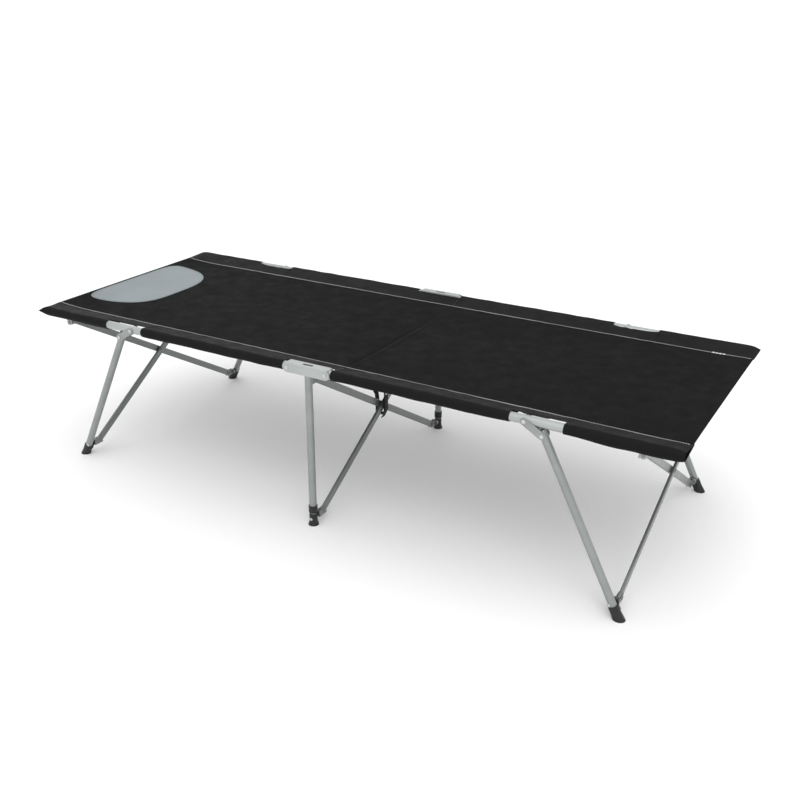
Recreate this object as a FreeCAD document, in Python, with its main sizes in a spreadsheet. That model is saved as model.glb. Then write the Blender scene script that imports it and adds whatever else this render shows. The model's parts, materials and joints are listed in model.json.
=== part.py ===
import FreeCAD, Part
import math
import os
import Sketcher
from FreeCAD import Placement, Rotation, Vector

# Folding cot, in millimetres. Ground at z = 0, x along the bed, y across it.
# Each rail folds down at its centre bracket while three scissor pairs close.

doc = FreeCAD.newDocument("folding_cot")
sheet = doc.addObject("Spreadsheet::Sheet", "sheet")

SIZES = {
    "half_length": 950,  # centre of the bed to the end of the rails
    "rail_height": 446,  # ground to rail axis
    "half_width": 355.5,  # centre line to rail axis
    "rail_radius": 11,
    "tube_wall": 1.2,
    "hinge_x": 58,  # rail hinge rivet, out from the centre leg
    "rivet_radius": 3,
    "rivet_head_radius": 5,
    "rivet_head": 1.6,
    "running_gap": 0.05,  # radial clearance of a rivet in its hole
    "side_gap": 0.3,  # clearance between pieces that slide past each other
    "plate": 1.6,  # thickness of pressed steel
    "bracket_radius": 13,
    "slot_length": 30,
    "slot_width": 8,
    "leg_radius": 10,
    "inner_leg_radius": 7.8,
    "inner_leg_length": 400,
    "leg_rivet_x": 592.5,
    "leg_angle": 63.2,  # leg below the horizontal, degrees
    "leg_offset": 28,  # leg axis outboard of its rivet
    "leg_foot_clear": 36,  # bare foot cap below the end of the tube
    "leg_top": 482,  # along the leg, ground to the end of the tube
    "leg_pin_s": 470,  # along the leg, ground to the upper pin
    "pivot_offset": 28,  # scissor pivots below the rail axis, and off the leg rivet
    "foot_pivot": 475,  # leg rivet to scissor pivot, along the leg
    "end_pivot_x": 860,  # upper pivot of an end scissor
    "mid_pivot_drop": 36,
    "folded_angle": 85,  # bar below the horizontal when the cot is folded, degrees
    "bar_radius": 10,  # half of the bar's width
    "bar_thick": 8,
    "bar_offset": 4.5,  # each bar's middle plane off its scissor's plane
    "bar_edge": 2.5,
    "yoke_height": 18,
    "yoke_face": 340.5,  # outboard face of an end yoke
    "lug_half": 9,
    "lug_thick": 2.5,
    "lug_gap": 0.5,  # yoke face to lug
    "lug_web": 9,  # depth of the web that ties a lug to its rail
    "fork_base": 3,  # bar end to the bottom of a yoke's fork
    "pin_play": 0.6,  # spare length of a yoke's own pin
    "ear_radius": 9.5,
    "ear_spacer_share": 0.385,  # place of the ear's spacer between its two pins
    "foot_radius": 12.5,
    "foot_flare": 14.5,
    "foot_stub_gap": 0.5,  # end leg's foot stub, short of the yoke
    "web_spare": 2,
    "collar_radius": 12,
    "collar_height": 20,
    "sleeve_radius": 13,
    "sleeve_gap": 0.3,  # rail to sleeve
    "cut_inner": 555,  # the sleeve's cut-out at an end leg
    "cut_outer": 685,
    "sleeve_start": 72.5,
    "rail_end": 912,  # the sleeve reaches past the rail and is pinched shut there
    "bed_half_width": 340.5,
    "bed_thick": 2,
    "bed_split": 72,  # centre strip of the bed, half length
    "pad_length": 222,
    "pad_half_width": 200,
    "pad_thick": 6,
    "pad_corner": 85,
    "strap_half": 13,
    "strap_width": 20,
    "strap_thick": 1.5,
    "strap_spare": 3,  # the strap's loop hangs below the bars by this much
    "extra": 2,  # how far a cutting tool reaches past the piece
    "through": 60,  # length of a tool that cuts right through
    "wide": 26,  # height of the opening in a sleeve at its rail's lug
}
for row, (alias, size) in enumerate(SIZES.items(), start=1):
    sheet.set(f"A{row}", alias)
    sheet.set(f"B{row}", str(size))
    sheet.setAlias(f"B{row}", alias)
doc.recompute()

# Sizes that follow from the sheet, for placing the scissors.
angle = math.radians(sheet.leg_angle)
foot_drop = sheet.foot_pivot * math.sin(angle) - sheet.pivot_offset * math.cos(angle)
foot_run = sheet.foot_pivot * math.cos(angle) + sheet.pivot_offset * math.sin(angle)
top_pivot = Vector(sheet.end_pivot_x, 0, sheet.rail_height - sheet.pivot_offset)
foot_pivot = Vector(sheet.leg_rivet_x + foot_run, 0, sheet.rail_height - foot_drop)
scissor_height = (top_pivot - foot_pivot).Length
folded_height = sheet.end_pivot_x - sheet.leg_rivet_x + sheet.foot_pivot
bar_length = folded_height / math.sin(math.radians(sheet.folded_angle))
bar_angle = math.asin(scissor_height / bar_length)
scissor_width = bar_length * math.cos(bar_angle)
scissor_tilt = math.degrees(math.atan2(top_pivot.x - foot_pivot.x, top_pivot.z - foot_pivot.z))
leg_foot_x = sheet.leg_rivet_x + sheet.leg_offset / math.sin(angle) + sheet.rail_height / math.tan(angle)
mid_top = sheet.rail_height - sheet.mid_pivot_drop
mid_foot = mid_top - scissor_height
DERIVED = {
    "bar_length": bar_length,
    "scissor_height": scissor_height,
    "scissor_width": scissor_width,
    "leg_foot_x": leg_foot_x,
    "mid_foot": mid_foot,
}
for row, (alias, size) in enumerate(DERIVED.items(), start=len(SIZES) + 1):
    sheet.set(f"A{row}", alias)
    sheet.set(f"B{row}", str(size))
    sheet.setAlias(f"B{row}", alias)
doc.recompute()

AXES = {
    "x": Rotation(Vector(0, 1, 0), 90),
    "y": Rotation(Vector(1, 0, 0), -90),
    "z": Rotation(),
}
nodes = []


def q(text):
    """Write sizes by their short names, such as q("rail_radius / 2")."""
    words = []
    for word in text.replace("(", "( ").replace(")", " )").split():
        known = word in SIZES or word in DERIVED
        words.append("sheet." + word if known else word)
    return " ".join(words)


def number(text):
    """Value of a formula of sizes."""
    return float(sheet.evalExpression(q(text)))


def put(thing, centre, length="0", axis=None):
    """Place a thing by its middle: centre is three formulas."""
    for name, formula in zip("xyz", centre):
        shift = f" - ({q(length)}) / 2" if name == axis else ""
        thing.setExpression("Placement.Base." + name, f"({q(formula)}){shift}")
    return thing


def rod(radius, length, centre, axis):
    """Cylinder along one of the three axes, placed by its middle."""
    solid = doc.addObject("Part::Cylinder", "rod")
    solid.Placement = Placement(Vector(), AXES[axis])
    solid.setExpression("Radius", q(radius))
    solid.setExpression("Height", q(length))
    return put(solid, centre, length, axis)


def cone(low_radius, high_radius, height, base):
    """Upright cone, placed by the middle of its base."""
    solid = doc.addObject("Part::Cone", "cone")
    solid.setExpression("Radius1", q(low_radius))
    solid.setExpression("Radius2", q(high_radius))
    solid.setExpression("Height", q(height))
    return put(solid, base)


def block(sizes, centre):
    """Box placed by its middle."""
    solid = doc.addObject("Part::Box", "block")
    for name, size, axis, place in zip(("Length", "Width", "Height"), sizes, "xyz", centre):
        solid.setExpression(name, q(size))
        solid.setExpression("Placement.Base." + axis, f"({q(place)}) - ({q(size)}) / 2")
    return solid


def join(*things):
    if len(things) == 1:
        return things[0]
    solid = doc.addObject("Part::MultiFuse", "join")
    solid.Shapes = list(things)
    return solid


def group(*things):
    """Separate solids kept in one node."""
    solid = doc.addObject("Part::Compound", "group")
    solid.Links = list(things)
    return solid


def cut(base, *tools):
    solid = doc.addObject("Part::Cut", "cut")
    solid.Base = base
    solid.Tool = join(*tools)
    return solid


def tube(radius, wall, length, centre, axis):
    outer = rod(radius, length, centre, axis)
    inner = rod(f"{radius} - {wall}", f"{length} + extra", centre, axis)
    return cut(outer, inner)


def node(name, solid, placement=None):
    """Name a finished sub-part, and move it if it was made in its own frame."""
    solid.Label = name
    if placement:
        solid.Placement = placement
    nodes.append(solid)
    return solid


def stadium(length, radius, hole, thick, centre_hole=False):
    """Body of a flat link: round ends with holes, long side on X, thick along Z."""
    body = doc.addObject("PartDesign::Body", "link")
    sketch = body.newObject("Sketcher::SketchObject", "link_outline")
    plane = [f for f in body.Origin.OriginFeatures if f.Role == "XY_Plane"][0]
    sketch.AttachmentSupport = [(plane, "")]
    sketch.MapMode = "FlatFace"
    half = number(length) / 2
    round_end = number(radius)
    up = Vector(0, 0, 1)
    quarter = math.pi / 2
    left = Part.Circle(Vector(-half, 0, 0), up, round_end)
    right = Part.Circle(Vector(half, 0, 0), up, round_end)
    sketch.addGeometry(Part.ArcOfCircle(left, quarter, 3 * quarter))
    sketch.addGeometry(Part.ArcOfCircle(right, -quarter, quarter))
    sketch.addGeometry(Part.LineSegment(Vector(-half, round_end, 0), Vector(half, round_end, 0)))
    sketch.addGeometry(Part.LineSegment(Vector(half, -round_end, 0), Vector(-half, -round_end, 0)))
    # A constraint names points by number: 1 is a start, 2 an end and 3 a centre.
    sketch.addConstraint(Sketcher.Constraint("Tangent", 0, 1, 2, 1))
    sketch.addConstraint(Sketcher.Constraint("Tangent", 2, 2, 1, 2))
    sketch.addConstraint(Sketcher.Constraint("Tangent", 1, 1, 3, 1))
    sketch.addConstraint(Sketcher.Constraint("Tangent", 3, 2, 0, 2))
    sketch.addConstraint(Sketcher.Constraint("Symmetric", 0, 3, 1, 3, -1, 1))
    sketch.addConstraint(Sketcher.Constraint("Horizontal", 2))
    named_size(sketch, "Radius", (0, round_end), "end_radius", radius)
    named_size(sketch, "DistanceX", (0, 3, 1, 3, 2 * half), "centres", length)
    places = [Vector(-half, 0, 0), Vector(half, 0, 0)] + [Vector()] * centre_hole
    anchors = [(0, 3), (1, 3), (-1, 1)]
    for count, place in enumerate(places if hole else []):
        circle = sketch.addGeometry(Part.Circle(place, up, number(hole)))
        sketch.addConstraint(Sketcher.Constraint("Coincident", circle, 3, *anchors[count]))
        named_size(sketch, "Radius", (circle, number(hole)), f"hole_{count}", hole)
    pad = body.newObject("PartDesign::Pad", "link_pad")
    pad.Profile = sketch
    pad.SideType = "Symmetric"
    pad.setExpression("Length", q(thick))
    body.Tip = pad
    return body


def named_size(sketch, kind, reference, name, formula):
    """Add a size to a sketch and bind it to the sheet."""
    index = sketch.addConstraint(Sketcher.Constraint(kind, *reference))
    sketch.renameConstraint(index, name)
    sketch.setExpression("Constraints." + name, q(formula))


def rounded(solid, edges, radius):
    """Round the named edges of the last feature of a body."""
    last = solid.Tip
    fillet = solid.newObject("PartDesign::Fillet", "round")
    fillet.Base = (last, edges)
    fillet.setExpression("Radius", q(radius))
    solid.Tip = fillet
    return solid


def turned(x_axis, z_axis, place):
    """Placement that lays a link's long side on x_axis and its thickness on z_axis."""
    return Placement(place, Rotation(x_axis, z_axis.cross(x_axis), z_axis, "ZXY"))


def rivet(length, centre, axis, head="rivet_head_radius"):
    """Rivet with a flat head on each end of a grip of the given length."""
    shank = rod("rivet_radius", f"{length} + 2 * rivet_head", centre, axis)
    heads = [shank]
    for sign in ("-", "+"):
        middle = list(centre)
        spot = "xyz".index(axis)
        middle[spot] = f"{centre[spot]} {sign} ( {length} + rivet_head ) / 2"
        heads.append(rod(head, "rivet_head", middle, axis))
    return join(*heads)


HOLE = "rivet_radius + running_gap"
SIDES = {"left": -1, "right": 1}
DEPTHS = {"front": -1, "rear": 1}


def centre_station(name, deep):
    """Centre bracket with its telescoping leg, for the front or the rear rails."""
    y = f"{deep} * half_width"
    top = "rail_height"
    inner = "2 * ( rail_radius + side_gap )"
    outline = stadium("2 * hinge_x", "bracket_radius", HOLE, f"{inner} + 2 * plate")
    spot = Vector(0, deep * sheet.half_width, sheet.rail_height)
    outline.Placement = turned(Vector(1, 0, 0), Vector(0, -1, 0), spot)
    roof = "rail_radius + side_gap"
    hollow_height = "bracket_radius + rail_radius + side_gap + 10"
    hollow = block(("4 * hinge_x", inner, hollow_height), ("0", y, f"{top} + {roof} - ( {hollow_height} ) / 2"))
    slot = block(("slot_length", "slot_width", "2 * bracket_radius"), ("0", y, f"{top} + bracket_radius"))
    node(f"{name}_centre_bracket", cut(outline, hollow, slot))

    tube_low = "mid_foot + foot_radius"
    tube_high = f"{top} + {roof}"
    length = f"( {tube_high} ) - ( {tube_low} )"
    middle = f"( ( {tube_high} ) + ( {tube_low} ) ) / 2"
    node(f"{name}_middle_leg", tube("leg_radius", "tube_wall", length, ("0", y, middle), "z"))

    place = ("0", y, f"{tube_low} + collar_height / 2")
    around = rod("leg_radius + running_gap", "2 * collar_height", place, "z")
    node(f"{name}_collar", cut(rod("collar_radius", "collar_height", place, "z"), around))

    pins = [rivet(f"{inner} + 2 * plate", (f"{side} * hinge_x", y, top), "y") for side in SIDES.values()]
    node(f"{name}_hinge_rivets", group(*pins))

    inner_low = "mid_foot - foot_radius"
    place = ("0", y, f"{inner_low} + inner_leg_length / 2")
    node(f"{name}_inner_leg", tube("inner_leg_radius", "tube_wall", "inner_leg_length", place, "z"))

    block_top = "mid_foot + leg_radius - 2 * plate"
    flare = cone("foot_flare", "foot_radius - plate", "foot_radius", ("0", y, "0"))
    stem = rod("foot_radius - plate", block_top, ("0", y, f"( {block_top} ) / 2"), "z")
    stub_length = "half_width - yoke_face - inner_leg_radius"
    stub_middle = f"{deep} * ( yoke_face + ( {stub_length} ) / 2 )"
    stub = rod("( yoke_height ) / 2 - web_spare", stub_length, ("0", stub_middle, "mid_foot"), "y")
    socket_place = ("0", y, f"{inner_low} + leg_radius")
    socket = rod("inner_leg_radius + running_gap", "2 * leg_radius", socket_place, "z")
    node(f"{name}_middle_foot", cut(join(flare, stem, stub), socket))


def rail(name, side, deep):
    """Rail tube with the lug of its end yoke, and the sleeve that is sewn round it."""
    y = f"{deep} * half_width"
    length = "rail_end - hinge_x"
    middle = f"{side} * ( rail_end + hinge_x ) / 2"
    shell = rod("rail_radius", length, (middle, y, "rail_height"), "x")
    core = rod("rail_radius - tube_wall", f"{length} + extra", (middle, y, "rail_height"), "x")
    knuckle = doc.addObject("Part::Sphere", "knuckle")
    knuckle.setExpression("Radius", q("rail_radius"))
    put(knuckle, (f"{side} * hinge_x", y, "rail_height"))
    lug_x = f"{side} * end_pivot_x"
    lug_y = f"{deep} * ( yoke_face + lug_gap + lug_thick / 2 )"
    lug_z = "rail_height - pivot_offset"
    lug_eye = rod("lug_half", "lug_thick", (lug_x, lug_y, lug_z), "y")
    drop = "pivot_offset - rail_radius / 2"
    lug_plate = block(("2 * lug_half", "lug_thick", drop), (lug_x, lug_y, f"{lug_z} + ( {drop} ) / 2"))
    web_spot = (lug_x, f"{deep} * ( yoke_face + lug_gap + lug_web / 2 )", "rail_height - rail_radius * 3 / 4")
    web = block(("2 * lug_half", "lug_web", "rail_radius / 2"), web_spot)
    pin_hole = rod(HOLE, "through", (lug_x, lug_y, lug_z), "y")
    hinge_hole = rod(HOLE, "through", (f"{side} * hinge_x", y, "rail_height"), "y")
    leg_hole = rod(HOLE, "through", (f"{side} * leg_rivet_x", y, "rail_height"), "y")
    web_only = cut(web, rod("rail_radius", "4 * lug_half", (lug_x, y, "rail_height"), "x"))
    hollow_shell = join(cut(shell, core), knuckle, lug_eye, lug_plate, web_only)
    node(f"{name}_rail", cut(hollow_shell, pin_hole, hinge_hole, leg_hole))

    full = "half_length - sleeve_start"
    middle = f"{side} * ( half_length + sleeve_start ) / 2"
    cloth = rod("sleeve_radius", full, (middle, y, "rail_height"), "x")
    inside = rod("rail_radius + sleeve_gap", f"{full} + extra", (middle, y, "rail_height"), "x")
    window_x = f"{side} * ( cut_inner + cut_outer ) / 2"
    window = block(("cut_outer - cut_inner", "through", "through"), (window_x, y, "rail_height"))
    slit_y = f"{deep} * ( half_width - sleeve_radius )"
    slit = block(("2 * lug_half + extra", "through / 3", "wide"), (lug_x, slit_y, "rail_height - rail_radius"))
    node(f"{name}_sleeve", cut(cloth, inside, window, slit))


def end_leg(name, side, deep):
    """Slanted end leg: built upright on its own ground point, then tilted."""
    stand = Placement(
        Vector(side * sheet.leg_foot_x, deep * sheet.half_width, 0),
        Rotation(Vector(0, 1, 0), side * (sheet.leg_angle - 90)),
    )
    length = "leg_top - leg_foot_clear"
    middle = "( leg_top + leg_foot_clear ) / 2"
    pin_hole = rod(HOLE, "through", ("0", "0", "leg_pin_s"), "y")
    pipe = tube("leg_radius", "tube_wall", length, ("0", "0", middle), "z")
    node(f"{name}_leg", cut(pipe, pin_hole), stand)

    # In the leg's frame the rail rivet lies inboard of the axis.
    rivet_s = number("( leg_foot_x - leg_rivet_x ) * cos(leg_angle) + rail_height * sin(leg_angle)")
    rail_pin = Vector(-side * sheet.leg_offset, 0, rivet_s)
    leg_pin = Vector(0, 0, sheet.leg_pin_s)
    along = rail_pin - leg_pin
    pin_spacing = along.Length
    along.normalize()
    spread = "rail_radius + side_gap + plate / 2"
    plates = []
    for cheek in (-1, 1):
        link = stadium(str(pin_spacing), "ear_radius", HOLE, "plate")
        spot = (rail_pin + leg_pin) / 2 + Vector(0, cheek * number(spread), 0)
        link.Placement = turned(along, Vector(0, 1, 0), spot)
        plates.append(link)
    spacer_spot = leg_pin + (rail_pin - leg_pin) * sheet.ear_spacer_share
    spacer_place = (str(spacer_spot.x), "0", str(spacer_spot.z))
    spacer = rod("rivet_radius", "2 * ( rail_radius + side_gap + plate )", spacer_place, "y")
    node(f"{name}_ear", join(*plates, spacer), stand)

    grip = "2 * ( rail_radius + side_gap + plate )"
    pins = [rivet(grip, (str(pin.x), "0", str(pin.z)), "y") for pin in (rail_pin, leg_pin)]
    node(f"{name}_leg_rivets", group(*pins), stand)

    # The foot cap reaches past the ground, and is cut flat there after tilting.
    inboard = -deep
    pivot_s = rivet_s - sheet.foot_pivot
    pivot_x = side * (sheet.pivot_offset - sheet.leg_offset)
    cap = cone("foot_flare", "foot_radius", "leg_foot_clear / 2", ("0", "0", "-1 * rivet_radius"))
    deep_cap = cone("foot_flare", "foot_flare", "foot_radius", ("0", "0", "-1 * rivet_radius - foot_radius"))
    collar = rod("foot_radius", "leg_foot_clear - 2 * extra", ("0", "0", "leg_foot_clear / 2 + extra"), "z")
    stub_reach = number("half_width - yoke_face - side_gap - leg_radius - foot_stub_gap")
    stub_y = inboard * (sheet.leg_radius + sheet.foot_stub_gap - sheet.side_gap + stub_reach / 2)
    stub = rod("yoke_height / 2", str(stub_reach), (str(pivot_x), str(stub_y), str(pivot_s)), "y")
    web_height = pivot_s - sheet.leg_foot_clear / 2
    web_middle = pivot_s - web_height / 2
    web_sizes = ("yoke_height - web_spare", str(stub_reach), str(web_height))
    web = block(web_sizes, (str(pivot_x / 2), str(stub_y), str(web_middle)))
    foot = join(cap, deep_cap, collar, stub, web)
    foot.Placement = stand
    ground = block(("200", "200", "100"), (f"{side} * leg_foot_x", f"{deep} * half_width", "-50"))
    node(f"{name}_foot", cut(foot, ground))


def scissor(name, station):
    """Scissor pair in its own upright plane, then tilted into place at its station."""
    for layer, bar in ((-1, "b"), (1, "a")):
        # Bar a runs from the rear top to the front bottom, bar b from the front top.
        down = Vector(0, -layer * math.cos(bar_angle), -math.sin(bar_angle))
        link = stadium("bar_length", "bar_radius", HOLE, "bar_thick", centre_hole=True)
        rounded(link, rounded_edges(link), "bar_edge")
        placed = turned(down, Vector(1, 0, 0), Vector(layer * sheet.bar_offset, 0, 0))
        if layer > 0:
            grip = "2 * bar_offset + bar_thick + 2 * side_gap"
            link = join(link, rivet(grip, ("0", "0", "-1 * bar_offset"), "z"))
        node(f"{name}_bar_{bar}", link, station.multiply(placed))


def rounded_edges(link):
    """Outline edges of a link's two flat faces, without the holes."""
    doc.recompute()
    names = []
    for count, edge in enumerate(link.Shape.Edges, start=1):
        flat = abs(edge.BoundBox.ZLength) < 1e-6
        full_circle = edge.isClosed()
        if flat and not full_circle:
            names.append(f"Edge{count}")
    return names


def yoke(name, station, layer, deep, high, face, with_pin, boss=True):
    """Forked yoke for one end of a bar, with the bar's pivot pin through it."""
    x = f"{layer} * bar_offset"
    z = f"{high} * scissor_height / 2"
    ears = "bar_thick + 2 * side_gap + 2 * plate"
    inner = "scissor_width / 2 - bar_radius"
    reach = f"( {face} ) - ( {inner} )"
    body = block((ears, reach, "yoke_height"), (x, f"{deep} * ( ( {face} ) + ( {inner} ) ) / 2", z))
    base = "scissor_width / 2 + bar_radius + fork_base"
    boss_length = f"( {face} ) - ( {base} )"
    solid = [body]
    if boss:
        boss_y = f"{deep} * ( ( {face} ) + ( {base} ) ) / 2"
        solid.append(rod("yoke_height / 2", boss_length, ("0", boss_y, z), "y"))
    gap_middle = f"{deep} * ( ( {base} ) + ( {inner} ) - 2 * bar_radius ) / 2"
    gap_length = f"( {base} ) - ( {inner} ) + 2 * bar_radius"
    gap = block(("bar_thick + 2 * side_gap", gap_length, "through"), (x, gap_middle, z))
    parts = [cut(join(*solid), gap)]
    pin_y = f"{deep} * scissor_width / 2"
    parts.append(rivet(ears, (x, pin_y, z), "x"))
    if with_pin:
        grip = "lug_thick + pin_play"
        shank_y = f"{deep} * ( ( {face} ) + ( {grip} ) / 2 )"
        parts.append(rod("rivet_radius", grip, ("0", shank_y, z), "y"))
        head_y = f"{deep} * ( ( {face} ) + {grip} + rivet_head / 2 )"
        parts.append(rod("rivet_head_radius", "rivet_head", ("0", head_y, z), "y"))
    node(name, join(*parts), station)


for depth_name, deep in DEPTHS.items():
    centre_station(depth_name, deep)
    for side_name, side in SIDES.items():
        rail(f"{depth_name}_{side_name}", side, deep)
        end_leg(f"{depth_name}_{side_name}", side, deep)

stations = {"middle": Placement(Vector(0, 0, (mid_top + mid_foot) / 2), Rotation())}
for side_name, side in SIDES.items():
    middle_spot = (top_pivot + foot_pivot) / 2
    stations[side_name] = Placement(
        Vector(side * middle_spot.x, 0, middle_spot.z),
        Rotation(Vector(0, 1, 0), side * scissor_tilt),
    )

for station_name, station in stations.items():
    scissor(station_name, station)
    at_end = station_name != "middle"
    face = "yoke_face" if at_end else "half_width - leg_radius - running_gap * 2"
    for depth_name, deep in DEPTHS.items():
        # The front top and the rear bottom hold bar b, which lies on the -X side.
        yoke(f"{depth_name}_{station_name}_yoke", station, deep, deep, 1, face, at_end, boss=at_end)
        yoke(f"{depth_name}_{station_name}_shoe", station, -deep, deep, -1, "yoke_face", False)


def bed_panel(name, low, high):
    length = f"( {high} ) - ( {low} )"
    middle = f"( ( {high} ) + ( {low} ) ) / 2"
    sizes = (length, "2 * bed_half_width", "bed_thick")
    node(name, block(sizes, (middle, "0", "rail_height")))


bed_panel("bed_left", "-1 * half_length", "-1 * bed_split - side_gap")
bed_panel("bed_centre", "-1 * bed_split", "bed_split")
bed_panel("bed_right", "bed_split + side_gap", "half_length")

pad_middle = "-1 * half_length + pad_length / 2"
pad_z = "rail_height + bed_thick / 2 + pad_thick / 2"
pad_block = block(("pad_length", "2 * pad_half_width", "pad_thick"), (pad_middle, "0", pad_z))
corner_cut = []
for deep in DEPTHS.values():
    corner = (
        "-1 * half_length + pad_length - pad_corner / 2",
        f"{deep} * ( pad_half_width - pad_corner / 2 )",
        pad_z,
    )
    square = block(("pad_corner", "pad_corner", "2 * pad_thick"), corner)
    centre = (
        "-1 * half_length + pad_length - pad_corner",
        f"{deep} * ( pad_half_width - pad_corner )",
        pad_z,
    )
    corner_cut.append(cut(square, rod("pad_corner", "3 * pad_thick", centre, "z")))
node("pillow_pad", cut(pad_block, *corner_cut))

strap_low = "( rail_height - mid_pivot_drop + mid_foot ) / 2 - 2 * bar_radius - strap_spare"
strap_high = "rail_height - bed_thick / 2 - side_gap"
strap_height = f"( {strap_high} ) - ( {strap_low} )"
strap_middle = ("0", "0", f"( ( {strap_high} ) + ( {strap_low} ) ) / 2")
strap_outer = block(("2 * strap_half", "strap_width", strap_height), strap_middle)
strap_inner_sizes = ("2 * strap_half - 2 * strap_thick", "2 * strap_width", f"{strap_height} - 2 * strap_thick")
node("strap", cut(strap_outer, block(strap_inner_sizes, strap_middle)))

doc.recompute()
for thing in doc.Objects:
    if "Invalid" in thing.State or "Error" in thing.State:
        raise RuntimeError(f"{thing.Label} failed: {thing.State}")
for solid in nodes:
    if solid.Shape.isNull() or not solid.Shape.isValid():
        raise RuntimeError(f"{solid.Label} has no valid shape")

os.makedirs("parts", exist_ok=True)
for solid in nodes:
    solid.Shape.exportStep(f"parts/{solid.Label}.step")
print(len(nodes), "nodes")
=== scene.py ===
import bisect
import json
import math

import bmesh
import bpy
from mathutils import Euler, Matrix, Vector, noise


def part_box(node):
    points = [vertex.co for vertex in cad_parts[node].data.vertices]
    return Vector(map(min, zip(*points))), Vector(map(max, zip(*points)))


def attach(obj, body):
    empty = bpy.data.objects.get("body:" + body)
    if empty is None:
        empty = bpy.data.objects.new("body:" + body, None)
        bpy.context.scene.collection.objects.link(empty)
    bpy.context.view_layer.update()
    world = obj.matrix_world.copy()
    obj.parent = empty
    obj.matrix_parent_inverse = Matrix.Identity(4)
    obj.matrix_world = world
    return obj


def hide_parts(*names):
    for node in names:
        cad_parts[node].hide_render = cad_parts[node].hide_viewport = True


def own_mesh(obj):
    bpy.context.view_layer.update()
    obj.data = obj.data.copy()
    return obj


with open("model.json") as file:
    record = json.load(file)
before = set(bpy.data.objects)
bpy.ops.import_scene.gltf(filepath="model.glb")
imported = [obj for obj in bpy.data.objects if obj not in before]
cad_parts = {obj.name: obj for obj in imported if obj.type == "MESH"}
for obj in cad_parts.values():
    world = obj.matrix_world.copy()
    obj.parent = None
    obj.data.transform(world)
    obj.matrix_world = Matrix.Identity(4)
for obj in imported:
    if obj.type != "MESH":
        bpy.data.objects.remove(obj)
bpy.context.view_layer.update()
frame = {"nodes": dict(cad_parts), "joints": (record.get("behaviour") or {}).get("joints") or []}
nodes = frame["nodes"]
joints = {joint["name"]: joint for joint in frame["joints"]}

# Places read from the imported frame, in metres.
rail_hinge = Vector(joints["rear_right_rail_hinge"]["pos_m"])
RAIL_Y = rail_hinge.y
RAIL_Z = rail_hinge.z
RAIL_END_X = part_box("rear_right_rail")[1].x
LEG_X = joints["rear_right_leg_hinge"]["pos_m"][0]
END_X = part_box("bed_right")[1].x
SPLIT_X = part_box("bed_centre")[1].x  # the bed is split at the rail hinges
SLEEVE_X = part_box("rear_right_sleeve")[0].x

# Sizes of the fabric, in metres. The seams, cut-outs and tips were measured in the solved
# perspective, and the finer ones were judged.
SEAM_Y = 0.289  # the two long seams, from the bed's middle
REACH = RAIL_Y - SEAM_Y
SEAM_DRIFT = 0.014  # how far the front seam runs outwards at the right end
SAG = 0.005  # at the bed's middle
SEAM_DROP = 0.002  # the bed lies this far below the rails' axis at the seams
END_RISE = (0.006, 0.001)  # the stretched hem lies higher than the cloth behind it, left and right
HEM_BOW = 0.0008  # how far the end hem bows in between the rails
CLOTH_DEPTH = 0.0009  # thickness of the bed's cloth
TIP_X = 0.953  # the sleeves' outer ends
SLEEVE_R = 0.0125  # radius of a sleeve's section round its rail
SLEEVE_LAYER = 0.0008  # thickness of a sleeve's cloth
CUT = (0.555, 0.685)  # the sleeve's cut-out at an end leg, along the rail
CUT_OUT_ARC = {-1: 0.004, 1: 0.011}  # depth of the bow in the cut-out's hem, front and rear
BRACKET_R = 0.013  # half the width of a centre bracket
PAD_GAP = 0.009  # strip of hem left bare outside the pad

# How far the sleeves' outer ends are pressed flat, from 0 (round) to 1 (closed).
MOUTHS = {"front_left": 0.94, "rear_left": 0.5, "rear_right": 0.8, "front_right": 0.3}

# Numbers of steps in the sections and the rounded pieces.
LAYER_STEPS = 8
WRAP_STEPS = 18
CORD_SIDES = 8
STITCH_SIDES = 6

SHARP_ANGLE = math.radians(42)
SIDES = {"left": -1, "right": 1}
DEPTHS = {"front": -1, "rear": 1}


# --- materials -------------------------------------------------------------------------

def new_material(name, colour, rough, metal=0.0):
    """Principled material, with its node tree and its shader."""
    material = bpy.data.materials.new(name)
    material.use_nodes = True
    tree = material.node_tree
    shader = tree.nodes["Principled BSDF"]
    shader.inputs["Base Color"].default_value = (*colour, 1)
    shader.inputs["Roughness"].default_value = rough
    shader.inputs["Metallic"].default_value = metal
    return material, tree, shader


def object_coordinates(tree, scale):
    place = tree.nodes.new("ShaderNodeTexCoord")
    mapping = tree.nodes.new("ShaderNodeMapping")
    mapping.inputs["Scale"].default_value = scale
    tree.links.new(place.outputs["Object"], mapping.inputs["Vector"])
    return mapping.outputs["Vector"]


def noise_value(tree, scale, detail=4, stretch=(1, 1, 1)):
    texture = tree.nodes.new("ShaderNodeTexNoise")
    texture.inputs["Scale"].default_value = scale
    texture.inputs["Detail"].default_value = detail
    tree.links.new(object_coordinates(tree, stretch), texture.inputs["Vector"])
    return texture.outputs["Fac"]


def wave_value(tree, scale, direction):
    texture = tree.nodes.new("ShaderNodeTexWave")
    texture.bands_direction = direction
    texture.inputs["Scale"].default_value = scale
    texture.inputs["Distortion"].default_value = 0.6
    texture.inputs["Detail Scale"].default_value = 3
    tree.links.new(object_coordinates(tree, (1, 1, 1)), texture.inputs["Vector"])
    return texture.outputs["Fac"]


def multiply(tree, first, second):
    step = tree.nodes.new("ShaderNodeMath")
    step.operation = "MULTIPLY"
    tree.links.new(first, step.inputs[0])
    tree.links.new(second, step.inputs[1])
    return step.outputs["Value"]


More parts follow.
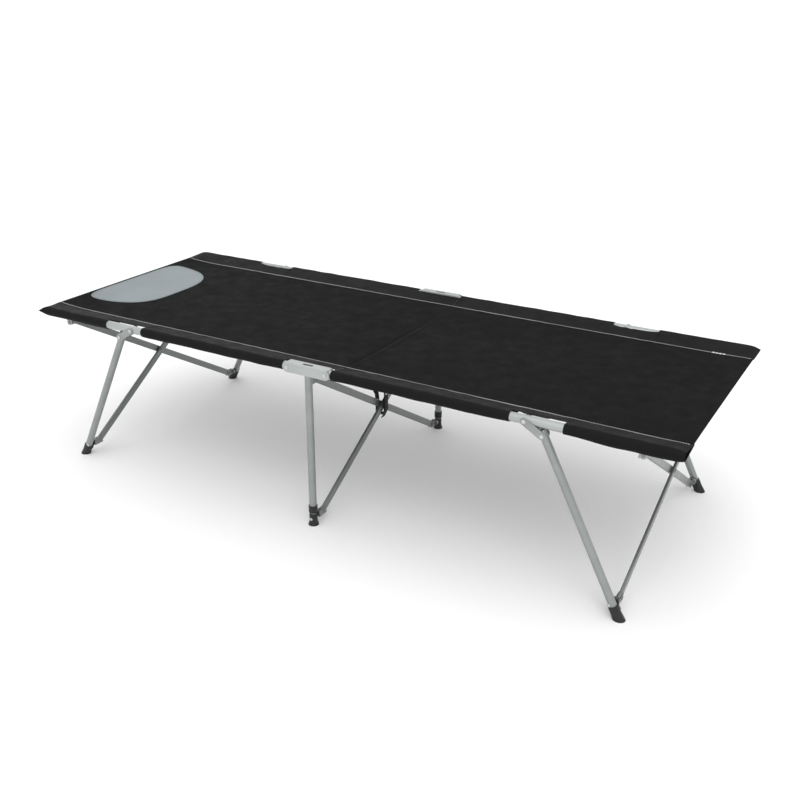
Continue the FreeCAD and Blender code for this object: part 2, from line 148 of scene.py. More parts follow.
def vary(tree, value, low, high, socket):
    """Turn a value into a colour between two colours, and feed a shader socket with it."""
    step = tree.nodes.new("ShaderNodeValToRGB")
    step.color_ramp.elements[0].position = 0.3
    step.color_ramp.elements[1].position = 0.7
    step.color_ramp.elements[0].color = (*low, 1)
    step.color_ramp.elements[1].color = (*high, 1)
    tree.links.new(value, step.inputs["Fac"])
    tree.links.new(step.outputs["Color"], socket)


def vary_rough(tree, value, low, high, shader):
    """Vary the roughness between two levels."""
    vary(tree, value, (low,) * 3, (high,) * 3, shader.inputs["Roughness"])


def bump(tree, shader, value, strength, distance, below=None):
    """Add relief, on top of another bump's relief if one is given."""
    step = tree.nodes.new("ShaderNodeBump")
    step.inputs["Strength"].default_value = strength
    step.inputs["Distance"].default_value = distance
    tree.links.new(value, step.inputs["Height"])
    if below:
        tree.links.new(below, step.inputs["Normal"])
    tree.links.new(step.outputs["Normal"], shader.inputs["Normal"])
    return step.outputs["Normal"]


def shade(colour, factor):
    return tuple(min(1.0, channel * factor) for channel in colour)


def paint(name, colour, metal, rough=0.36):
    """Satin silver paint: faint mottling, orange-peel bump and rubbed patches."""
    material, tree, shader = new_material(name, colour, rough, metal)
    mottle = noise_value(tree, 9, stretch=(1, 1, 3))
    vary(tree, mottle, shade(colour, 0.9), shade(colour, 1.06), shader.inputs["Base Color"])
    vary_rough(tree, noise_value(tree, 60), rough - 0.07, rough + 0.1, shader)
    bump(tree, shader, noise_value(tree, 900, detail=2), strength=0.12, distance=0.0003)
    shader.inputs["Coat Weight"].default_value = 0.15
    shader.inputs["Coat Roughness"].default_value = 0.3
    return material


def bright_steel(name):
    """Nickel-plated rivets with fine turning marks."""
    material, tree, shader = new_material(name, (0.52, 0.53, 0.54), 0.3, metal=1.0)
    vary_rough(tree, noise_value(tree, 300), 0.22, 0.4, shader)
    bump(tree, shader, noise_value(tree, 1500, detail=2), strength=0.1, distance=0.0002)
    return material


def black_plastic(name):
    """Moulded black plastic with a fine grain, paler where it is scuffed."""
    colour = (0.011, 0.011, 0.012)
    material, tree, shader = new_material(name, colour, 0.42)
    shader.inputs["Specular IOR Level"].default_value = 0.3
    vary(tree, noise_value(tree, 45), colour, shade(colour, 1.9), shader.inputs["Base Color"])
    vary_rough(tree, noise_value(tree, 120), 0.34, 0.55, shader)
    bump(tree, shader, noise_value(tree, 1400, detail=3), strength=0.25, distance=0.0004)
    return material


def woven(name, colour, pitch, rough, mottling, sheen=0.0, gloss=0.025):
    """Plain weave: two crossed sets of threads, with soft variation in tone."""
    material, tree, shader = new_material(name, colour, rough)
    along = wave_value(tree, 1 / pitch, "X")
    across = wave_value(tree, 1 / pitch, "Y")
    threads = multiply(tree, along, across)
    mottle = noise_value(tree, 3.2, detail=5)
    vary(tree, mottle, colour, shade(colour, mottling), shader.inputs["Base Color"])
    vary_rough(tree, noise_value(tree, 26), rough - 0.08, rough + 0.08, shader)
    fine = bump(tree, shader, threads, strength=0.3, distance=0.0004)
    creases = noise_value(tree, 9, detail=4, stretch=(2.2, 0.8, 1))
    bump(tree, shader, creases, strength=0.08, distance=0.003, below=fine)
    shader.inputs["Sheen Weight"].default_value = sheen
    shader.inputs["Sheen Roughness"].default_value = 0.45
    shader.inputs["Specular IOR Level"].default_value = gloss
    return material


def satin(name):
    """Grey-blue satin: smooth, glossy and lightly puckered."""
    colour = (0.176, 0.206, 0.222)
    material, tree, shader = new_material(name, colour, 0.4)
    shader.inputs["Specular IOR Level"].default_value = 0.25
    mottle = noise_value(tree, 10, detail=3)
    vary(tree, mottle, shade(colour, 0.95), shade(colour, 1.06), shader.inputs["Base Color"])
    threads = wave_value(tree, 1400, "Y")
    fine = bump(tree, shader, threads, strength=0.1, distance=0.0002)
    pucker = noise_value(tree, 34, detail=3, stretch=(1.6, 0.8, 1))
    bump(tree, shader, pucker, strength=0.1, distance=0.002, below=fine)
    shader.inputs["Sheen Weight"].default_value = 0.06
    shader.inputs["Sheen Roughness"].default_value = 0.3
    return material


def webbing(name):
    """Ribbed black polyester webbing."""
    dark = (0.006, 0.006, 0.007)
    pale = (0.02, 0.02, 0.021)
    material, tree, shader = new_material(name, (0.008, 0.008, 0.009), 0.6)
    vary(tree, noise_value(tree, 200), dark, pale, shader.inputs["Base Color"])
    bump(tree, shader, wave_value(tree, 420, "Z"), strength=0.5, distance=0.0006)
    shader.inputs["Sheen Weight"].default_value = 0.02
    shader.inputs["Specular IOR Level"].default_value = 0.15
    return material


FRAME_PAINT = paint("frame_paint", (0.265, 0.281, 0.277), metal=0.6)
BRACKET_PAINT = paint("bracket_paint", (0.37, 0.392, 0.388), metal=0.5)
# The frame's paint darkened: painted shade standing in for the shade beneath the bed.
SHADE_DARKENED_PAINT = paint("shade_darkened_paint", (0.205, 0.217, 0.215), metal=0.6)
STEEL = bright_steel("bright_steel")
PLASTIC = black_plastic("black_plastic")
CLOTH = woven("charcoal_cloth", (0.0078, 0.0078, 0.0083), pitch=0.0011, rough=0.66, mottling=1.08)
# The bed's cloth painted about a tenth lighter, as painted light on the sleeves' rounded sides and the
# bands; its lower roughness and higher gloss give a real sheen.
PAINTED_LIGHT_CLOTH = woven("painted_light_cloth", (0.0086, 0.0086, 0.0092), pitch=0.0011, rough=0.54, mottling=1.1,
                     gloss=0.05)
SATIN = satin("pad_satin")
WEBBING = webbing("strap_webbing")
THREAD = woven("grey_thread", (0.2, 0.2, 0.205), pitch=0.0009, rough=0.6, mottling=2.2, sheen=0.02)
WHITE_THREAD = woven("white_thread", (0.55, 0.55, 0.55), pitch=0.0009, rough=0.6, mottling=1.3, sheen=0.02)


def cad_material(name):
    """Material for a CAD node, from the kind of piece it is."""
    if name.endswith("rivets"):
        return STEEL
    if name.endswith(("foot", "collar")):
        return PLASTIC
    if name.endswith(("bracket", "rail")):
        return BRACKET_PAINT
    # Bars, shoes and yokes take the darkened paint, which paints in the shade beneath the bed.
    if "_bar_" in name or name.endswith(("shoe", "yoke")):
        return SHADE_DARKENED_PAINT
    return FRAME_PAINT


for name, thing in nodes.items():
    thing.data.materials.clear()
    thing.data.materials.append(cad_material(name))


# --- meshes ----------------------------------------------------------------------------

def mesh_object(name, points, faces, material):
    """Smooth-shaded mesh that keeps its sharp edges."""
    mesh = bpy.data.meshes.new(name)
    mesh.from_pydata([tuple(point) for point in points], [], faces)
    mesh.update()
    thing = bpy.data.objects.new(name, mesh)
    bpy.context.scene.collection.objects.link(thing)
    mesh.materials.append(material)
    mesh.shade_smooth()
    mesh.set_sharp_from_angle(angle=SHARP_ANGLE)
    return thing


def grid_faces(rows, columns, closed=False):
    """Quads of a grid of points stored row by row."""
    faces = []
    for row in range(rows - 1):
        for column in range(columns if closed else columns - 1):
            right = (column + 1) % columns
            faces.append((row * columns + column, row * columns + right,
                          (row + 1) * columns + right, (row + 1) * columns + column))
    return faces


def apply_modifiers(thing):
    """Replace a piece's mesh by its mesh with all modifiers applied."""
    graph = bpy.context.evaluated_depsgraph_get()
    mesh = bpy.data.meshes.new_from_object(thing.evaluated_get(graph))
    thing.modifiers.clear()
    thing.data = mesh
    mesh.set_sharp_from_angle(angle=SHARP_ANGLE)


def thicken(thing, depth, offset):
    """Give a sheet its real thickness, on the side that the offset's sign says."""
    modifier = thing.modifiers.new("thickness", "SOLIDIFY")
    modifier.thickness = depth
    modifier.offset = offset
    apply_modifiers(thing)


def bevel(thing, width, segments=3):
    modifier = thing.modifiers.new("edges", "BEVEL")
    modifier.width = width
    modifier.segments = segments
    apply_modifiers(thing)


def lathe(name, profile, material, turns=28):
    """Solid of revolution about its own Z, from a profile of radius and height."""
    points = []
    for radius, height in profile:
        for number in range(turns):
            angle = 2 * math.pi * number / turns
            points.append((radius * math.cos(angle), radius * math.sin(angle), height))
    faces = [tuple(reversed(face)) for face in grid_faces(len(profile), turns, closed=True)]
    thing = mesh_object(name, points, faces, material)
    mesh = bmesh.new()
    mesh.from_mesh(thing.data)
    bmesh.ops.remove_doubles(mesh, verts=mesh.verts, dist=1e-6)
    bmesh.ops.recalc_face_normals(mesh, faces=mesh.faces)
    mesh.to_mesh(thing.data)
    mesh.free()
    thing.data.shade_smooth()
    thing.data.set_sharp_from_angle(angle=SHARP_ANGLE)
    return thing


def steps(low, high, pitch):
    """Even places from low to high, no more than pitch apart."""
    count = max(2, math.ceil(abs(high - low) / pitch) + 1)
    return [low + (high - low) * number / (count - 1) for number in range(count)]


# --- fabric ----------------------------------------------------------------------------

def bell(distance, width):
    return math.exp(-((distance / width) ** 2))


def rise_at_end(x):
    """Extra height near the stretched hem at either end of the bed."""
    rise_start = 0.84
    rise_length = 0.1
    return END_RISE[x > 0] * min(1.0, max(0.0, abs(x) - rise_start) / rise_length) ** 2


def crease(x, y):
    """The slanting crease beside the bed's middle: a ridge and a wider valley that fade to the rear."""
    from_ridge = x - (0.085 + 0.012 * y)
    fade = 1 / (1 + math.exp((y - 0.13) / 0.03))
    return fade * (0.0018 * bell(from_ridge, 0.004) - 0.0022 * bell(from_ridge + 0.012, 0.008))


def cloth_height(x, y):
    """Height of the bed cloth above the rail axis: tight, with a slight sag and soft creases."""
    span = max(0.0, 1 - (y / SEAM_Y) ** 2)
    sag = SAG * span * (0.5 + 0.5 * math.cos(math.pi * x / END_X))
    ripple = noise.noise(Vector((x * 9, y * 2.6, 0.4)))
    wave = noise.noise(Vector((x * 2.2, y * 3.1, 7.7)))
    near = 0.35 + bell(x, 0.16) + 0.8 * bell(abs(x) - LEG_X, 0.09) * (abs(y) / SEAM_Y) ** 2
    unevenness = 0.0013 * ripple * near * min(1.0, span * 3) + 0.0012 * wave * span
    return rise_at_end(x) + crease(x, y) + unevenness - SEAM_DROP - sag


def hem_x(side, y):
    """End of the bed: the hem bows in very slightly between the rails."""
    return side * (END_X - HEM_BOW * max(0.0, 1 - (y / SEAM_Y) ** 2))


def panel(name, low, high, body, side):
    """Stretch of the bed between the two seams, from x = low to x = high."""
    length = abs(high - low)
    across = steps(-SEAM_Y, SEAM_Y, 0.008)
    along = steps(0, 1, 0.005 / length)
    points = []
    for share in along:
        for y in across:
            end = hem_x(side, y) if side else high
            x = low + (end - low) * share
            points.append((x, y, RAIL_Z + cloth_height(x, y)))
    cloth = mesh_object(name, points, grid_faces(len(along), len(across)), CLOTH)
    thicken(cloth, CLOTH_DEPTH, offset=-1.0 if side >= 0 else 1.0)
    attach(cloth, body)
    return cloth


def flatten(piece):
    """Give a piece its own copy of its mesh."""
    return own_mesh(piece)


def upper_layer(x, deep):
    """Sleeve's upper layer, from the seam to where it meets the rail's curve, and its lean."""
    lean = math.asin(SLEEVE_R / REACH)
    seam_z = cloth_height(x, SEAM_Y)
    edge_y = RAIL_Y - SLEEVE_R * math.sin(lean)
    edge_z = SLEEVE_R * math.cos(lean)
    layer = []
    for number in range(LAYER_STEPS):
        share = number / LAYER_STEPS
        wave = noise.noise(Vector((x * 14, deep * 3 + share, 2.0))) * math.sin(math.pi * share)
        layer.append((SEAM_Y + (edge_y - SEAM_Y) * share,
                      seam_z + (edge_z - seam_z) * share + 0.0007 * wave))
    return layer, lean


def hang_below(x, deep):
    """How far the sleeve hangs clear of the rail: most at the front right end."""
    hang = 0.0012 * (1 + noise.noise(Vector((x * 16, deep, 4.4))))
    if deep < 0 and x > CUT[1]:
        hang += 0.0035 * min(1.0, (x - CUT[1]) / 0.12)
    return hang


def loop_section(x, deep, pinch=0.0):
    """Section of the sleeve: two layers from the seam, round the rail. pinch closes it."""
    layer_gap = 0.0012  # the two layers lie this far apart at the seam
    closed_rim_z = 0.001  # a closed mouth lies at this height beside the rail
    widening = 0.05  # a closed mouth reaches this much further out
    section, lean = upper_layer(x, deep)
    seam_z = section[0][1]
    hang = hang_below(x, deep)
    for number in range(WRAP_STEPS + 1):
        turn = math.pi / 2 + lean - number * (math.pi + 2 * lean) / WRAP_STEPS
        pucker = 0.0009 * noise.noise(Vector((x * 26, deep * 4, turn * 1.4)))
        radius = SLEEVE_R + pucker + hang * max(0.0, -math.sin(turn))
        section.append((RAIL_Y + radius * math.cos(turn), radius * math.sin(turn)))
    low_y, low_z = section[-1]
    for number in reversed(range(LAYER_STEPS)):
        share = number / LAYER_STEPS
        section.append((SEAM_Y + (low_y - SEAM_Y) * share,
                        (seam_z - layer_gap) * (1 - share) + low_z * share))
    closed = []
    for y, z in section:
        share = (y - SEAM_Y) / REACH
        middle = seam_z * (1 - share) + closed_rim_z * share
        closed_y = SEAM_Y + (y - SEAM_Y) * (1 + widening * pinch)
        closed_z = middle + (z - middle) * (1 - pinch)
        closed.append((x, deep * closed_y, RAIL_Z + closed_z))
    return closed


def flat_section(x, deep, layer, depth):
    """Closed section of a single layer of cloth, from its places across the bed."""
    upper = [(x, deep * y, RAIL_Z + z + depth) for y, z in layer]
    lower = [(x, deep * y, RAIL_Z + z) for y, z in reversed(layer)]
    return upper + lower


def band_section(x, deep):
    """Section where the sleeve is cut out at a leg: the upper layer alone, hemmed on the rail."""
    layer = upper_layer(x, deep)[0]
    seam_z, rim_z = layer[0][1], layer[-1][1]
    share = min(1.0, max(0.0, (abs(x) - CUT[0]) / (CUT[1] - CUT[0])))
    arc = math.sqrt(math.sin(math.pi * share ** 0.8))
    hem_y = RAIL_Y - 0.006  # the hem's two ends, just inside the rail's axis
    edge_y = hem_y - CUT_OUT_ARC[deep] * arc
    edge_y += 0.0014 * noise.noise(Vector((x * 55, deep * 7, 1.5)))
    edge_z = seam_z + (rim_z - seam_z) * (edge_y - SEAM_Y) / REACH
    layer = [(y, z) for y, z in layer if y < edge_y - 0.001]
    while len(layer) < LAYER_STEPS:  # every section has the same number of points
        layer.append((edge_y, edge_z))
    return flat_section(x, deep, layer, SLEEVE_LAYER)


def centre_section(x, deep):
    """Section of the hemmed band behind a centre bracket, just short of it."""
    bracket_gap = 0.0022
    edge_z = 0.0095
    hem_depth = 0.0011
    seam_z = cloth_height(x, SEAM_Y)
    edge_y = RAIL_Y - BRACKET_R - bracket_gap
    edge_y += 0.0008 * noise.noise(Vector((x * 40, deep * 5, 0.3)))
    shares = [number / LAYER_STEPS for number in range(LAYER_STEPS + 1)]
    layer = [(SEAM_Y + (edge_y - SEAM_Y) * share, seam_z + (edge_z - seam_z) * share) for share in shares]
    return flat_section(x, deep, layer, hem_depth)


def sweep(sections, capped=False):
    """Points and faces of a run of closed sections, with its two ends closed if it is solid."""
    points = [point for section in sections for point in section]
    count = len(sections[0])
    faces = grid_faces(len(sections), count, closed=True)
    if capped:
        last = len(points) - count
        for corner in range(count // 2 - 1):
            across = (corner, corner + 1, count - 2 - corner, count - 1 - corner)
            faces.append(tuple(reversed(across)))
            faces.append(tuple(last + index for index in across))
    return points, faces


def joined(runs):
    """Points and faces of several runs as one mesh."""
    points = []
    faces = []
    for more_points, more_faces in runs:
        faces += [tuple(index + len(points) for index in face) for face in more_faces]
        points += more_points
    return points, faces


def sleeve(name, side, deep):
    """Sleeve of one rail: two looped stretches, and the cut-out for the leg between them."""
    rail = f"{name}_rail"
    pitch = 0.012
    overlap = 0.002
    loops = [loop_section(side * x, deep) for x in steps(SLEEVE_X, CUT[0], pitch)]
    last = [loop_section(side * x, deep) for x in steps(CUT[1], RAIL_END_X, pitch)]
    for share in steps(0.1, 1, 0.1):
        x = RAIL_END_X + (TIP_X - RAIL_END_X) * share
        last.append(loop_section(side * x, deep, MOUTHS[name] * share ** 3.6))
    points, faces = joined([sweep(loops), sweep(last)])
    # The sleeve takes the lightened cloth, which paints in light on its rounded sides.
    cloth = mesh_object(f"{name}_painted_light_cloth", points, faces, PAINTED_LIGHT_CLOTH)
    thicken(cloth, SLEEVE_LAYER, offset=1.0 if side * deep > 0 else -1.0)
    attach(cloth, rail)
    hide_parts(f"{name}_sleeve")
    band = [band_section(side * x, deep) for x in steps(CUT[0] - overlap, CUT[1] + overlap, 0.008)]
    hem = mesh_object(f"{name}_cut_out_hem", *sweep(band, capped=True), PAINTED_LIGHT_CLOTH)
    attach(hem, rail)


def centre_band(name, deep):
    """Hemmed band of the bed behind a centre bracket."""
    sections = [centre_section(x, deep) for x in steps(-SLEEVE_X, SLEEVE_X, 0.01)]
    cloth = mesh_object(f"{name}_centre_band", *sweep(sections, capped=True), PAINTED_LIGHT_CLOTH)
    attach(cloth, f"{name}_centre")


def stitch(centre, way, size, length):
    """Points and faces of one stitch: a short thread, thinner at its two ends."""
    across = Vector((-way.y, way.x, 0))
    rings = []
    for share, swell in ((-0.5, 0.35), (-0.3, 1.0), (0.3, 1.0), (0.5, 0.35)):
        ring = []
        for corner in range(STITCH_SIDES):
            turn = 2 * math.pi * corner / STITCH_SIDES
            lift = Vector((0, 0, 0.8 * math.sin(turn)))
            ring.append(centre + way * length * share + (across * math.cos(turn) + lift) * size * swell)
        rings.append(ring)
    points, faces = sweep(rings)
    last = len(points) - STITCH_SIDES
    faces.append(tuple(reversed(range(STITCH_SIDES))))
    faces.append(tuple(range(last, len(points))))
    return points, faces


def stitches(name, route, body, size=0.0014, pitch=0.0062, length=0.0056, material=THREAD):
    """Row of stitches along a route, which is a function from distance to place and way, and a length."""
    place, total = route
    row = []
    for number in range(int(total / pitch)):
        start, way = place((number + 0.5) * pitch)
        wander = 0.0016 * noise.noise(Vector((number * 0.23, total, 1.0)))
        centre = start + Vector((-way.y, way.x, 0)) * wander
        row.append(stitch(centre, way, size, length))
    thread = mesh_object(name, *joined(row), material)
    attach(thread, body)
    return thread


def seam_line(x, deep):
    """Place of a long seam on the cloth: the front one drifts outwards on the right."""
    drift = SEAM_DRIFT * max(0.0, x / END_X) if deep < 0 else 0.0
    drift = max(0.0, drift + 0.0015 * noise.noise(Vector((x * 5, deep, 3.0))))
    seam_z = cloth_height(x, SEAM_Y)
    z = seam_z + (SLEEVE_R - seam_z) * drift / REACH
    return Vector((x, deep * (SEAM_Y + drift), RAIL_Z + z))


def seam_route(low, high, deep):
    """Route along a long seam, on the cloth."""
    way = Vector((1 if high > low else -1, 0, 0))
    lift = Vector((0, 0, 0.0012))

    def place(distance):
        return seam_line(low + way.x * distance, deep) + lift, way

    return place, abs(high - low)


def hem_route(side):
    """Route along the hem's stitching, across the end of the bed."""
    way = Vector((0, 1, 0))
    from_edge = 0.018
    lift = 0.0008

    def place(distance):
        y = -SEAM_Y + distance
        x = hem_x(side, y) - side * from_edge
        return Vector((x, y, RAIL_Z + cloth_height(x, y) + lift)), way

    return place, 2 * SEAM_Y


def cord_ridge(name, low, high, deep, body):
    """Raised edge of the sleeve's seam: a thin line of cloth under the stitches."""
    half_width, half_height = 0.0011, 0.0007
    lift = Vector((0, 0, 0.0008))
    angles = [2 * math.pi * number / CORD_SIDES for number in range(CORD_SIDES)]
    ring = [Vector((0, half_width * math.cos(angle), half_height * math.sin(angle))) for angle in angles]
    sections = [[seam_line(x, deep) + lift + point for point in ring] for x in steps(low, high, 0.01)]
    ridge = mesh_object(name, *sweep(sections), CLOTH)
    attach(ridge, body)


# Section of an end hem: distance inwards from the bed's edge, and height above the cloth.
HEM_SECTION = [(-0.0012, -0.0006), (-0.0008, 0.0010), (0.004, 0.0011), (0.019, 0.0010),
               (0.0215, 0.0002), (0.0215, -0.0015), (0.004, -0.0022)]


def end_hem(name, side, body):
    """Folded hem across one end of the bed."""
    sections = []
    for y in steps(-SEAM_Y, SEAM_Y, 0.008):
        section = []
        for inward, lift in HEM_SECTION:
            x = hem_x(side, y) - side * inward
            section.append((x, y, RAIL_Z + cloth_height(x, y) + lift))
        sections.append(section)
    hem = mesh_object(name, *sweep(sections), CLOTH)
    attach(hem, body)
    return hem


def pad_edge_x(y, inset=0.0):
    """Outer and inner edges of the pillow pad at a place across the bed."""
    low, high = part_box("pillow_pad")
    share = min(1.0, abs(y) / (high.y - inset))
    widest = low.x + 0.05
    outer_power = 9
    inner_power = 4.5 if y < 0 else 3.0
    outer = widest - (widest - low.x - PAD_GAP - inset) * math.sqrt(1 - share ** outer_power)
    inner = widest + (high.x - inset - widest) * math.sqrt(1 - share ** inner_power)
    return outer, inner


def grid_rim(rows, columns):
    """Points round the edge of a grid of points stored row by row, in order."""
    rim = list(range(columns))
    rim += [row * columns + columns - 1 for row in range(1, rows)]
    rim += [(rows - 1) * columns + column for column in range(columns - 2, -1, -1)]
    rim += [row * columns for row in range(rows - 2, 0, -1)]
    return rim


def pillow_pad():
    """Satin pillow pad: a flat bag with a bowed inner edge, blown up as cloth."""
    half_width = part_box("pillow_pad")[1].y
    rows = 37
    columns = 61
    above_bed = 0.0016
    flat_depth = 0.0008
    top = []
    for row in range(rows):
        for column in range(columns):
            y = half_width * math.sin(math.pi * (column / (columns - 1) - 0.5))
            outer, inner = pad_edge_x(y)
            x = outer + (inner - outer) * row / (rows - 1)
            top.append((x, y, RAIL_Z + cloth_height(x, y) + above_bed))
    bottom = [(x, y, z - flat_depth) for x, y, z in top]
    under = len(top)
    faces = grid_faces(rows, columns)
    faces += [tuple(index + under for index in reversed(face)) for face in faces]
    rim = grid_rim(rows, columns)
    for here, after in zip(rim, rim[1:] + rim[:1]):
        faces.append((after, here, here + under, after + under))
    pad = mesh_object("pillow_pad_cloth", top + bottom, faces, SATIN)
    inflate(pad, set(rim) | {index + under for index in range(under)})
    smoother = pad.modifiers.new("smooth", "SUBSURF")
    smoother.levels = smoother.render_levels = 1
    apply_modifiers(pad)
    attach(pad, "front_left_rail")
    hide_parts("pillow_pad")
    return flatten(pad)


def inflate(pad, held):
    """Cloth simulation of the pad's top layer, with its rim and underside held down."""
    frames = 20
    highest = 0.007
    before = [vertex.co.copy() for vertex in pad.data.vertices]
    pinned = pad.vertex_groups.new(name="held")
    pinned.add(sorted(held), 1.0, "REPLACE")
    cloth = pad.modifiers.new("cloth", "CLOTH")
    cloth.settings.vertex_group_mass = "held"
    cloth.settings.use_pressure = True
    cloth.settings.uniform_pressure_force = 4
    cloth.settings.effector_weights.gravity = 0
    cloth.settings.quality = 6
    cloth.settings.shrink_min = -0.04
    scene = bpy.context.scene
    for frame_number in range(1, frames + 1):
        scene.frame_set(frame_number)
    apply_modifiers(pad)
    scene.frame_set(1)
    for vertex, start in zip(pad.data.vertices, before):
        move = vertex.co - start
        if move.length > highest:
            vertex.co = start + move.normalized() * highest


def pad_seam():
    """Route of the stitches just inside the pad's edge."""
    inset = 0.0035
    lift = 0.0024
    side_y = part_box("pillow_pad")[1].y - inset
    across = [side_y * math.sin(angle) for angle in steps(-math.pi / 2, math.pi / 2, 0.012)]
    outline = [Vector((pad_edge_x(y, inset)[1], y, 0)) for y in across]
    outline += [Vector((pad_edge_x(y, inset)[0], y, 0)) for y in reversed(across[:-1])]
    reached = [0.0]
    for here, after in zip(outline, outline[1:]):
        reached.append(reached[-1] + (after - here).length)

    def place(distance):
        number = min(bisect.bisect_right(reached, distance), len(outline) - 1)
        here, after = outline[number - 1], outline[number]
        way = (after - here).normalized()
        spot = here + way * (distance - reached[number - 1])
        spot.z = RAIL_Z + cloth_height(spot.x, spot.y) + lift
        return spot, way

    return place, reached[-1]


def bed():
    """The whole bed: panels, sleeves, bands, seams and hems."""
    left = panel("bed_left_cloth", -SPLIT_X, -END_X, "front_left_rail", -1)
    centre = panel("bed_centre_cloth", -SPLIT_X, SPLIT_X, "front_centre", 0)
    right = panel("bed_right_cloth", SPLIT_X, END_X, "front_right_rail", 1)
    for cloth, node in ((left, "bed_left"), (centre, "bed_centre"), (right, "bed_right")):
        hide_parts(node)
        flatten(cloth)
    for depth_name, deep in DEPTHS.items():
        centre_band(depth_name, deep)
        body = f"{depth_name}_centre"
        cord_ridge(f"{body}_ridge", -SPLIT_X, SPLIT_X, deep, body)
        stitches(f"{body}_stitches", seam_route(-SPLIT_X, SPLIT_X, deep), body)
        for side_name, side in SIDES.items():
            name = f"{depth_name}_{side_name}"
            sleeve(name, side, deep)
            ends = (side * SPLIT_X, side * (END_X - 0.003))
            cord_ridge(f"{name}_ridge", *ends, deep, f"{name}_rail")
            stitches(f"{name}_stitches", seam_route(*ends, deep), f"{name}_rail")
    # Short row of thick white stitches on the rear seam, near the right end.
    stitches("rear_right_bar_tack", seam_route(0.845, 0.885, DEPTHS["rear"]), "rear_right_rail",
             size=0.0024, pitch=0.009, length=0.008, material=WHITE_THREAD)
    for side_name, side in SIDES.items():
        body = f"front_{side_name}_rail"
        flatten(end_hem(f"{side_name}_hem", side, body))
        flatten(stitches(f"{side_name}_hem_stitches", hem_route(side), body, size=0.0004, material=CLOTH))
    flatten(stitches("pad_stitches", pad_seam(), "front_left_rail",
                     size=0.0005, pitch=0.004, length=0.003, material=SATIN))


# --- strap -----------------------------------------------------------------------------

STRAP_WIDTH = 0.020
STRAP_DEPTH = 0.0016
STUD_PROFILE = [(0.0, 0.0024), (0.003, 0.0022), (0.0048, 0.0014), (0.0056, 0.0004),
                (0.0056, 0.0), (0.0, 0.0)]


def smooth_route(route, count):
    """Catmull-Rom line through the points of a route, with count steps in each span."""
    smooth = []
    last = len(route) - 1
    for number in range(last):
        a, b, c, d = (route[min(last, max(0, number + shift))] for shift in (-1, 0, 1, 2))
        for step in range(count):
            u = step / count
            smooth.append(0.5 * (2 * b + (c - a) * u + (2 * a - 5 * b + 4 * c - d) * u ** 2
                                 + (3 * b - a - 3 * c + d) * u ** 3))
    return smooth + [route[-1]]


def ribbon(name, route):
    """Flat band of webbing along a smooth route of points, with its width along Y."""
    half = Vector((0, STRAP_WIDTH / 2, 0))
    edge = half * 0.94
    sections = []
    for before, point, after in zip(route[:1] + route, route, route[1:] + route[-1:]):
        out = (after - before).cross(half).normalized()
        skin = out * STRAP_DEPTH / 2
        sections.append([point - half, point - edge + skin, point + edge + skin,
                         point + half, point + edge - skin, point - edge - skin])
    points, faces = sweep(sections)
    corners = len(sections[0])
    faces.append(tuple(reversed(range(corners))))
    faces.append(tuple(range(len(points) - corners, len(points))))
    return mesh_object(name, points, faces, WEBBING)


def strap():
    """Webbing loop round the middle crossing, sewn up to the bed, with its snap stud."""
    bed_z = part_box("strap")[1].z
    top = bed_z - 0.0085
    crossing = joints["middle_cross"]["pos_m"][2]
    neck = crossing + 0.030
    bottom = crossing - 0.020
    near = 0.0135  # the loop passes the crossing at this distance on both sides
    left, right = -0.0235, 0.0155  # places where it is sewn to the bed
    places = [(left, top), (left, top - 0.0415), (left + 0.001, neck + 0.022), (-near - 0.003, neck + 0.002)]
    places += [(-near, crossing + 0.010), (-near, crossing - 0.010)]
    for number in range(9):
        turn = math.pi + math.pi * number / 8
        places.append((near * math.cos(turn), bottom + 0.008 * math.sin(turn)))
    places += [(near, crossing - 0.010), (near, crossing + 0.010), (near + 0.001, neck)]
    places += [(right, neck + 0.045), (right - 0.001, top - 0.0415), (right, top)]
    band = ribbon("strap_webbing", smooth_route([Vector((x, 0, z)) for x, z in places], 6))
    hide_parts("strap")

    # The loose end lies on the loop's right side, and carries the stud.
    over = near + 0.0022
    places = [(0.004, bottom - 0.020), (0.009, bottom - 0.011), (over, bottom + 0.006), (over, crossing),
              (over + 0.0002, neck + 0.012)]
    tab = ribbon("strap_tab", smooth_route([Vector((x, 0, z)) for x, z in places], 5))
    stud = lathe("snap_stud", STUD_PROFILE, STEEL)
    stud.rotation_euler = Euler((0, math.pi / 2, 0))
    stud.location = Vector((over + 0.0012, -0.001, neck + 0.008))

    for piece, slot in ((band, "webbing"), (tab, "webbing"), (stud, "rivet")):
        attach(piece, "middle_bar_b")
        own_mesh(piece)


# --- small hard pieces -----------------------------------------------------------------

RIVET_PROFILE = [(0.0, 0.0020), (0.0014, 0.0020), (0.0017, 0.0014), (0.0022, 0.0016),
                 (0.0034, 0.0013), (0.0042, 0.0004), (0.0042, -0.0006), (0.0, -0.0006)]


def foot_rivet(name, place, deep, body):
    """Head of the tubular rivet through a foot, on the foot's outer face."""
    head = lathe(name, RIVET_PROFILE, STEEL)
    head.rotation_euler = Euler((-deep * math.pi / 2, 0, 0))
    head.location = place
    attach(head, body)


def foot_rivets():
    """Rivet heads of all six feet."""
    for depth_name, deep in DEPTHS.items():
        place = Vector((0, deep * (RAIL_Y + 0.0112), 0.019))
        foot_rivet(f"{depth_name}_middle_foot_rivet_head", place, deep, f"{depth_name}_mid_foot")
        for side_name, side in SIDES.items():
            leg = f"{depth_name}_{side_name}_leg"
            low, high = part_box(leg)
            tube_end = high.x if side > 0 else low.x
            slope = (high.z - low.z) / (high.x - low.x)
            x = tube_end - side * (0.0115 / slope + 0.010)
            place = Vector((x, deep * (RAIL_Y + 0.0100), low.z + 0.0075))
            foot_rivet(f"{depth_name}_{side_name}_foot_rivet_head", place, deep, leg)


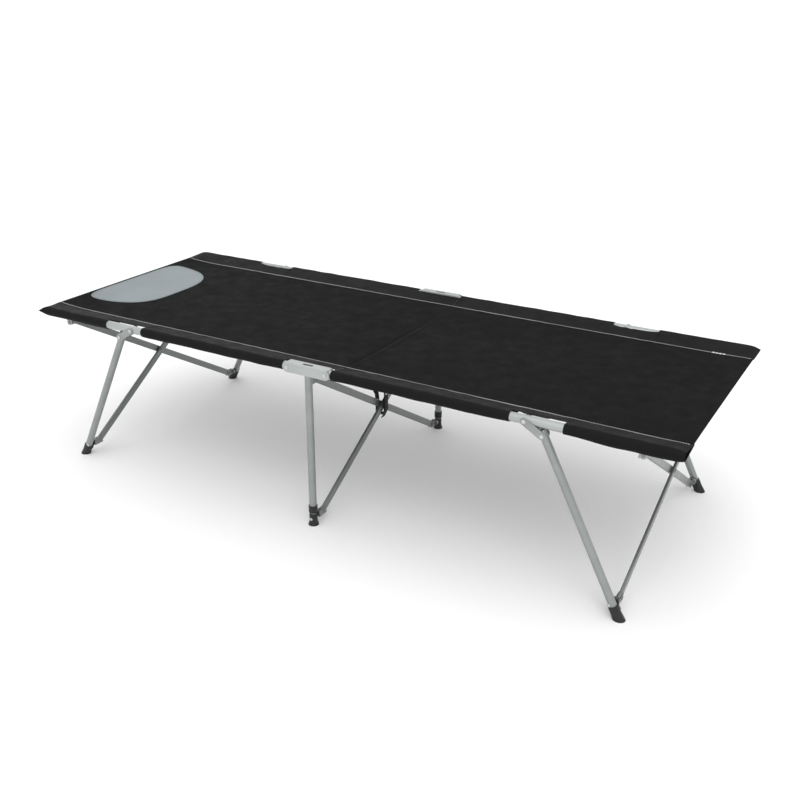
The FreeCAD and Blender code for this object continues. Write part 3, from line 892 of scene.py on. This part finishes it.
def slot_inserts():
    """Black plastic insert that fills the slot on top of each centre bracket."""
    half = Vector((0.0146, 0.0036, 0.0011))
    below_top = 0.0022
    faces = [(0, 2, 3, 1), (4, 5, 7, 6), (0, 1, 5, 4), (2, 6, 7, 3), (0, 4, 6, 2), (1, 3, 7, 5)]
    for depth_name in DEPTHS:
        low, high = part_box(f"{depth_name}_centre_bracket")
        middle = Vector((0, (low.y + high.y) / 2, high.z - below_top))
        points = [middle + half * Vector((x, y, z)) for z in (-1, 1) for y in (-1, 1) for x in (-1, 1)]
        insert = mesh_object(f"{depth_name}_slot_insert", points, faces, PLASTIC)
        bevel(insert, 0.0007)
        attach(insert, f"{depth_name}_centre")


# --- studio ----------------------------------------------------------------------------

def floor():
    """Plain white floor, wide enough to fill the view."""
    corners = [(-70, -20, 0), (60, -20, 0), (60, 120, 0), (-70, 120, 0)]
    material = new_material("studio_floor", (0.92, 0.92, 0.92), 0.8)[0]
    mesh_object("studio_floor", corners, [(0, 1, 2, 3)], material)


def lamp(name, kind, place, aim, power):
    """Light of one kind, turned towards a point."""
    light = bpy.data.lights.new(name, kind)
    light.energy = power
    thing = bpy.data.objects.new(name, light)
    thing.location = place
    thing.rotation_euler = (Vector(aim) - Vector(place)).to_track_quat("-Z", "Y").to_euler()
    bpy.context.scene.collection.objects.link(thing)
    return light


def softbox(name, place, aim, size, power):
    light = lamp(name, "AREA", place, aim, power)
    light.shape = "RECTANGLE"
    light.size, light.size_y = size


def studio():
    """Soft studio light: a broad key from the front, three softboxes and a white world."""
    world = bpy.data.worlds.new("studio")
    world.use_nodes = True
    background = world.node_tree.nodes["Background"]
    background.inputs["Color"].default_value = (1, 1, 1, 1)
    background.inputs["Strength"].default_value = 1.0
    key = lamp("key", "SUN", (0.7, -2.7, 3.0), (0, 0, 0), 0.85)
    key.angle = math.radians(48)
    softbox("overhead", (0.3, -0.4, 3.4), (0, 0, 0.2), (3.5, 2.4), 13)
    softbox("back_left", (-3.2, 2.6, 2.4), (-0.4, 0, 0.4), (2.2, 1.8), 6)
    softbox("front_right", (2.6, -3.0, 2.2), (0.2, 0, 0.3), (2.0, 1.6), 18)
    bpy.context.scene.world = world
    bpy.context.scene.view_settings.view_transform = "Standard"


def camera():
    """Camera at the three-quarter view from the front right, above the bed."""
    turn = (66.525, -0.174, 30.039)  # degrees
    lens = bpy.data.cameras.new("camera")
    lens.lens = 44.64
    lens.sensor_width = 36
    thing = bpy.data.objects.new("camera", lens)
    thing.location = (1.3577, -2.2479, 1.3708)
    thing.rotation_euler = Euler([math.radians(angle) for angle in turn])
    bpy.context.scene.collection.objects.link(thing)
    bpy.context.scene.camera = thing


camera()
bed()
pillow_pad()
strap()
foot_rivets()
slot_inserts()
floor()
studio()
